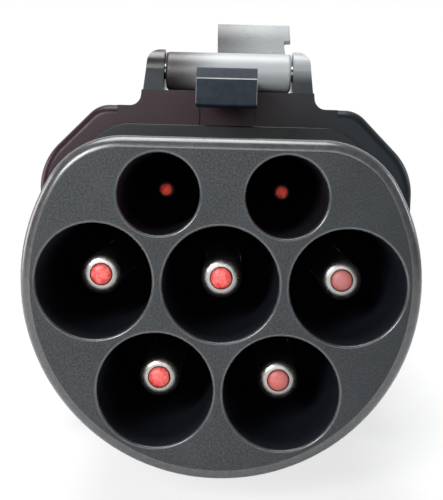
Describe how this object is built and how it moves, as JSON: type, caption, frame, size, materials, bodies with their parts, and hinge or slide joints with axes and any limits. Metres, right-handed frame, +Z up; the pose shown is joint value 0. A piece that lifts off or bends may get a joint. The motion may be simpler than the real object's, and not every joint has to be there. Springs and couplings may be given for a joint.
{
  "type": "electric vehicle charging adapter",
  "caption": "Charging adapter with a D-shaped pin nose and sprung hook latch at one end and a shrouded D-shaped pin inlet at the other.",
  "frame": {"origin": "on the surface under the middle of the adapter's box", "axes": "+Z up, the pin nose points to -Y, the inlet to +Y, +X to the right seen from the nose"},
  "size_m": [0.0694, 0.14, 0.0779],
  "materials": {
    "housing_plastic": "fine moulded texture",
    "block_plastic": "moulded matte dark grey",
    "plate_plastic": "moulded, plain",
    "lever_plastic": "satin to glossy dark grey",
    "silver_plate": "silver-plated, turned",
    "cap_plastic": "red, slightly translucent look",
    "gasket_rubber": "matte",
    "wire_jacket": "silicone jacket",
    "board_laminate": "solder mask",
    "resistor_body": "lacquered",
    "steel": "plain stainless"
  },
  "bodies": {
    "adapter_body": {"coding_board": "board_laminate", "coding_resistor": "resistor_body", "front_housing": "housing_plastic", "hinge_pin": "steel", "housing_screws": "steel", "housing_seal": "gasket_rubber", "inlet_block": "block_plastic", "inlet_cap_earth": "cap_plastic", "inlet_cap_line1": "cap_plastic", "inlet_cap_line2": "cap_plastic", "inlet_cap_line3": "cap_plastic", "inlet_cap_neutral": "cap_plastic", "inlet_cap_pilot": "cap_plastic", "inlet_cap_sense": "cap_plastic", "inlet_gasket": "gasket_rubber", "inlet_pin_earth": "silver_plate", "inlet_pin_line1": "silver_plate", "inlet_pin_line2": "silver_plate", "inlet_pin_line3": "silver_plate", "inlet_pin_neutral": "silver_plate", "inlet_pin_pilot": "silver_plate", "inlet_pin_plate": "plate_plastic", "inlet_pin_sense": "silver_plate", "inlet_plate_screws": "steel", "latch_spring": "steel", "plug_block": "block_plastic", "plug_cap_earth": "cap_plastic", "plug_cap_line1": "cap_plastic", "plug_cap_line2": "cap_plastic", "plug_cap_line3": "cap_plastic", "plug_cap_neutral": "cap_plastic", "plug_cap_pilot": "cap_plastic", "plug_cap_sense": "cap_plastic", "plug_gasket": "gasket_rubber", "plug_pin_earth": "silver_plate", "plug_pin_line1": "silver_plate", "plug_pin_line2": "silver_plate", "plug_pin_line3": "silver_plate", "plug_pin_neutral": "silver_plate", "plug_pin_pilot": "silver_plate", "plug_pin_plate": "plate_plastic", "plug_pin_sense": "silver_plate", "plug_plate_screws": "steel", "rear_housing": "housing_plastic", "spacer_tube": "plate_plastic", "wire_earth": "wire_jacket", "wire_line1": "wire_jacket", "wire_line2": "wire_jacket", "wire_line3": "wire_jacket", "wire_neutral": "wire_jacket", "wire_pilot": "wire_jacket", "wire_sense": "wire_jacket"},
    "lever": {"latch_lever": "lever_plastic"}
  },
  "joints": [
    {"name": "latch_press", "type": "hinge", "parent": "adapter_body", "child": "lever", "pos_m": [0, -0.024, 0.0667], "axis": [-1, 0, 0], "range_deg": [0, 12], "stiffness_Nm_per_rad": 0.05, "springref_deg": -17.19, "deforming": ["latch_spring"]}
  ]
}
